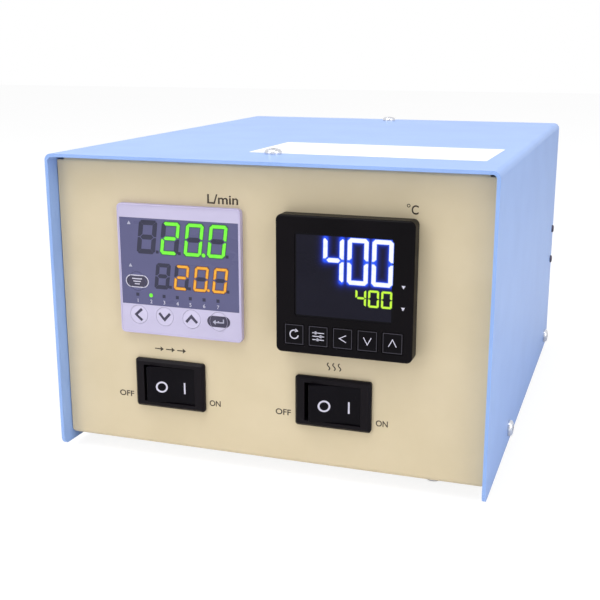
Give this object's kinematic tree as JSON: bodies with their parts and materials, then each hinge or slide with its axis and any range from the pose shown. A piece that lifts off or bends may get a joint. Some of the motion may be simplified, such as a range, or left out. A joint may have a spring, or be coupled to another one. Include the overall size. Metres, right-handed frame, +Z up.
{
  "type": "mass flow controller",
  "caption": "Bench-top mass flow controller: blue steel case, recessed beige panel with flow and temperature instruments, rocker switches, and gas and electrical sockets at the rear.",
  "frame": {"origin": "under the middle of the whole object's box, on the surface it stands on", "axes": "+X to the right as seen from the front, +Y to the rear, +Z up"},
  "size_m": [0.1668, 0.223, 0.1164],
  "materials": {
    "blue_paint": "fine satin light blue paint",
    "beige_paint": "satin beige paint with screened legends",
    "bright_screw": "bright plated steel",
    "dark_screw": "black plated steel",
    "foot_rubber": "matt black rubber",
    "lilac_plastic": "satin pale lilac-grey moulding",
    "lilac_film": "semi-gloss printed film",
    "violet_window": "dark grey-violet display window with lit digits",
    "violet_key": "domed key in the dark part of the film",
    "lilac_key": "domed key with a dark arrow",
    "black_bezel": "glossy black moulding",
    "black_window": "black display window with lit digits",
    "black_key": "black key with a pale outline",
    "black_plastic": "fine-grained black moulding",
    "rocker_plastic": "satin black rocker with white marks",
    "grey_plastic": "satin grey moulding",
    "white_plastic": "satin white moulding",
    "black_rubber": "sponge rubber",
    "stainless": "machined stainless steel",
    "nickel": "nickel-plated brass",
    "tinned": "tinned contacts",
    "bare_aluminium": "mill-finish aluminium",
    "zinc_sheet": "zinc-plated sheet"
  },
  "bodies": {
    "controller": {"block_bracket": "zinc_sheet", "bulkhead_nuts": "nickel", "chassis": "beige_paint", "clamp_frames": "black_plastic", "cover": "blue_paint", "floor_screws": "bright_screw", "flow_bezel": "lilac_plastic", "flow_case": "grey_plastic", "flow_film": "lilac_film", "flow_switch_housing": "black_plastic", "flow_window": "violet_window", "front_left_foot": "foot_rubber", "front_right_foot": "foot_rubber", "fuse_cap": "black_plastic", "fuse_holder": "black_plastic", "gas_block": "stainless", "heat_bezel": "black_bezel", "heat_case": "black_plastic", "heat_gasket": "black_rubber", "heat_terminals": "black_plastic", "heat_window": "black_window", "heater_contacts": "tinned", "heater_socket": "nickel", "heater_switch_housing": "black_plastic", "inlet_bulkhead": "nickel", "inlet_tube": "stainless", "inlet_union": "nickel", "mains_inlet": "black_plastic", "mains_pins": "tinned", "mains_screws": "bright_screw", "outlet_bulkhead": "nickel", "outlet_tube": "stainless", "outlet_union": "nickel", "rear_edge_screws": "dark_screw", "rear_left_foot": "foot_rubber", "rear_right_foot": "foot_rubber", "relay": "white_plastic", "relay_sink": "bare_aluminium", "sensor_housing": "grey_plastic", "sensor_socket": "black_plastic", "side_screws": "bright_screw", "supply_case": "bare_aluminium", "supply_terminals": "black_plastic", "switch_blades": "tinned", "terminal_strip": "white_plastic", "top_screws": "bright_screw", "valve": "black_plastic"},
    "flow_switch_rocker": {"flow_switch_rocker": "rocker_plastic"},
    "heater_switch_rocker": {"heater_switch_rocker": "rocker_plastic"},
    "flow_display_key": {"flow_display_key": "violet_key"},
    "flow_left_key": {"flow_left_key": "lilac_key"},
    "flow_down_key": {"flow_down_key": "lilac_key"},
    "flow_up_key": {"flow_up_key": "lilac_key"},
    "flow_enter_key": {"flow_enter_key": "lilac_key"},
    "heat_mode_key": {"heat_mode_key": "black_key"},
    "heat_menu_key": {"heat_menu_key": "black_key"},
    "heat_left_key": {"heat_left_key": "black_key"},
    "heat_down_key": {"heat_down_key": "black_key"},
    "heat_up_key": {"heat_up_key": "black_key"}
  },
  "joints": [
    {"name": "flow_rocker_tilt", "type": "hinge", "parent": "controller", "child": "flow_switch_rocker", "pos_m": [-0.0367, -0.101, 0.03018], "axis": [0, 0, -1], "range_deg": [0, 18]},
    {"name": "heater_rocker_tilt", "type": "hinge", "parent": "controller", "child": "heater_switch_rocker", "pos_m": [0.0263, -0.101, 0.03018], "axis": [0, 0, -1], "range_deg": [0, 18]},
    {"name": "flow_display_push", "type": "slide", "parent": "controller", "child": "flow_display_key", "axis": [0, 1, 0], "range_m": [0, 0.0003], "stiffness_N_per_m": 1500},
    {"name": "flow_left_push", "type": "slide", "parent": "controller", "child": "flow_left_key", "axis": [0, 1, 0], "range_m": [0, 0.0003], "stiffness_N_per_m": 1500},
    {"name": "flow_down_push", "type": "slide", "parent": "controller", "child": "flow_down_key", "axis": [0, 1, 0], "range_m": [0, 0.0003], "stiffness_N_per_m": 1500},
    {"name": "flow_up_push", "type": "slide", "parent": "controller", "child": "flow_up_key", "axis": [0, 1, 0], "range_m": [0, 0.0003], "stiffness_N_per_m": 1500},
    {"name": "flow_enter_push", "type": "slide", "parent": "controller", "child": "flow_enter_key", "axis": [0, 1, 0], "range_m": [0, 0.0003], "stiffness_N_per_m": 1500},
    {"name": "heat_mode_push", "type": "slide", "parent": "controller", "child": "heat_mode_key", "axis": [0, 1, 0], "range_m": [0, 0.0005], "stiffness_N_per_m": 1500},
    {"name": "heat_menu_push", "type": "slide", "parent": "controller", "child": "heat_menu_key", "axis": [0, 1, 0], "range_m": [0, 0.0005], "stiffness_N_per_m": 1500},
    {"name": "heat_left_push", "type": "slide", "parent": "controller", "child": "heat_left_key", "axis": [0, 1, 0], "range_m": [0, 0.0005], "stiffness_N_per_m": 1500},
    {"name": "heat_down_push", "type": "slide", "parent": "controller", "child": "heat_down_key", "axis": [0, 1, 0], "range_m": [0, 0.0005], "stiffness_N_per_m": 1500},
    {"name": "heat_up_push", "type": "slide", "parent": "controller", "child": "heat_up_key", "axis": [0, 1, 0], "range_m": [0, 0.0005], "stiffness_N_per_m": 1500}
  ]
}
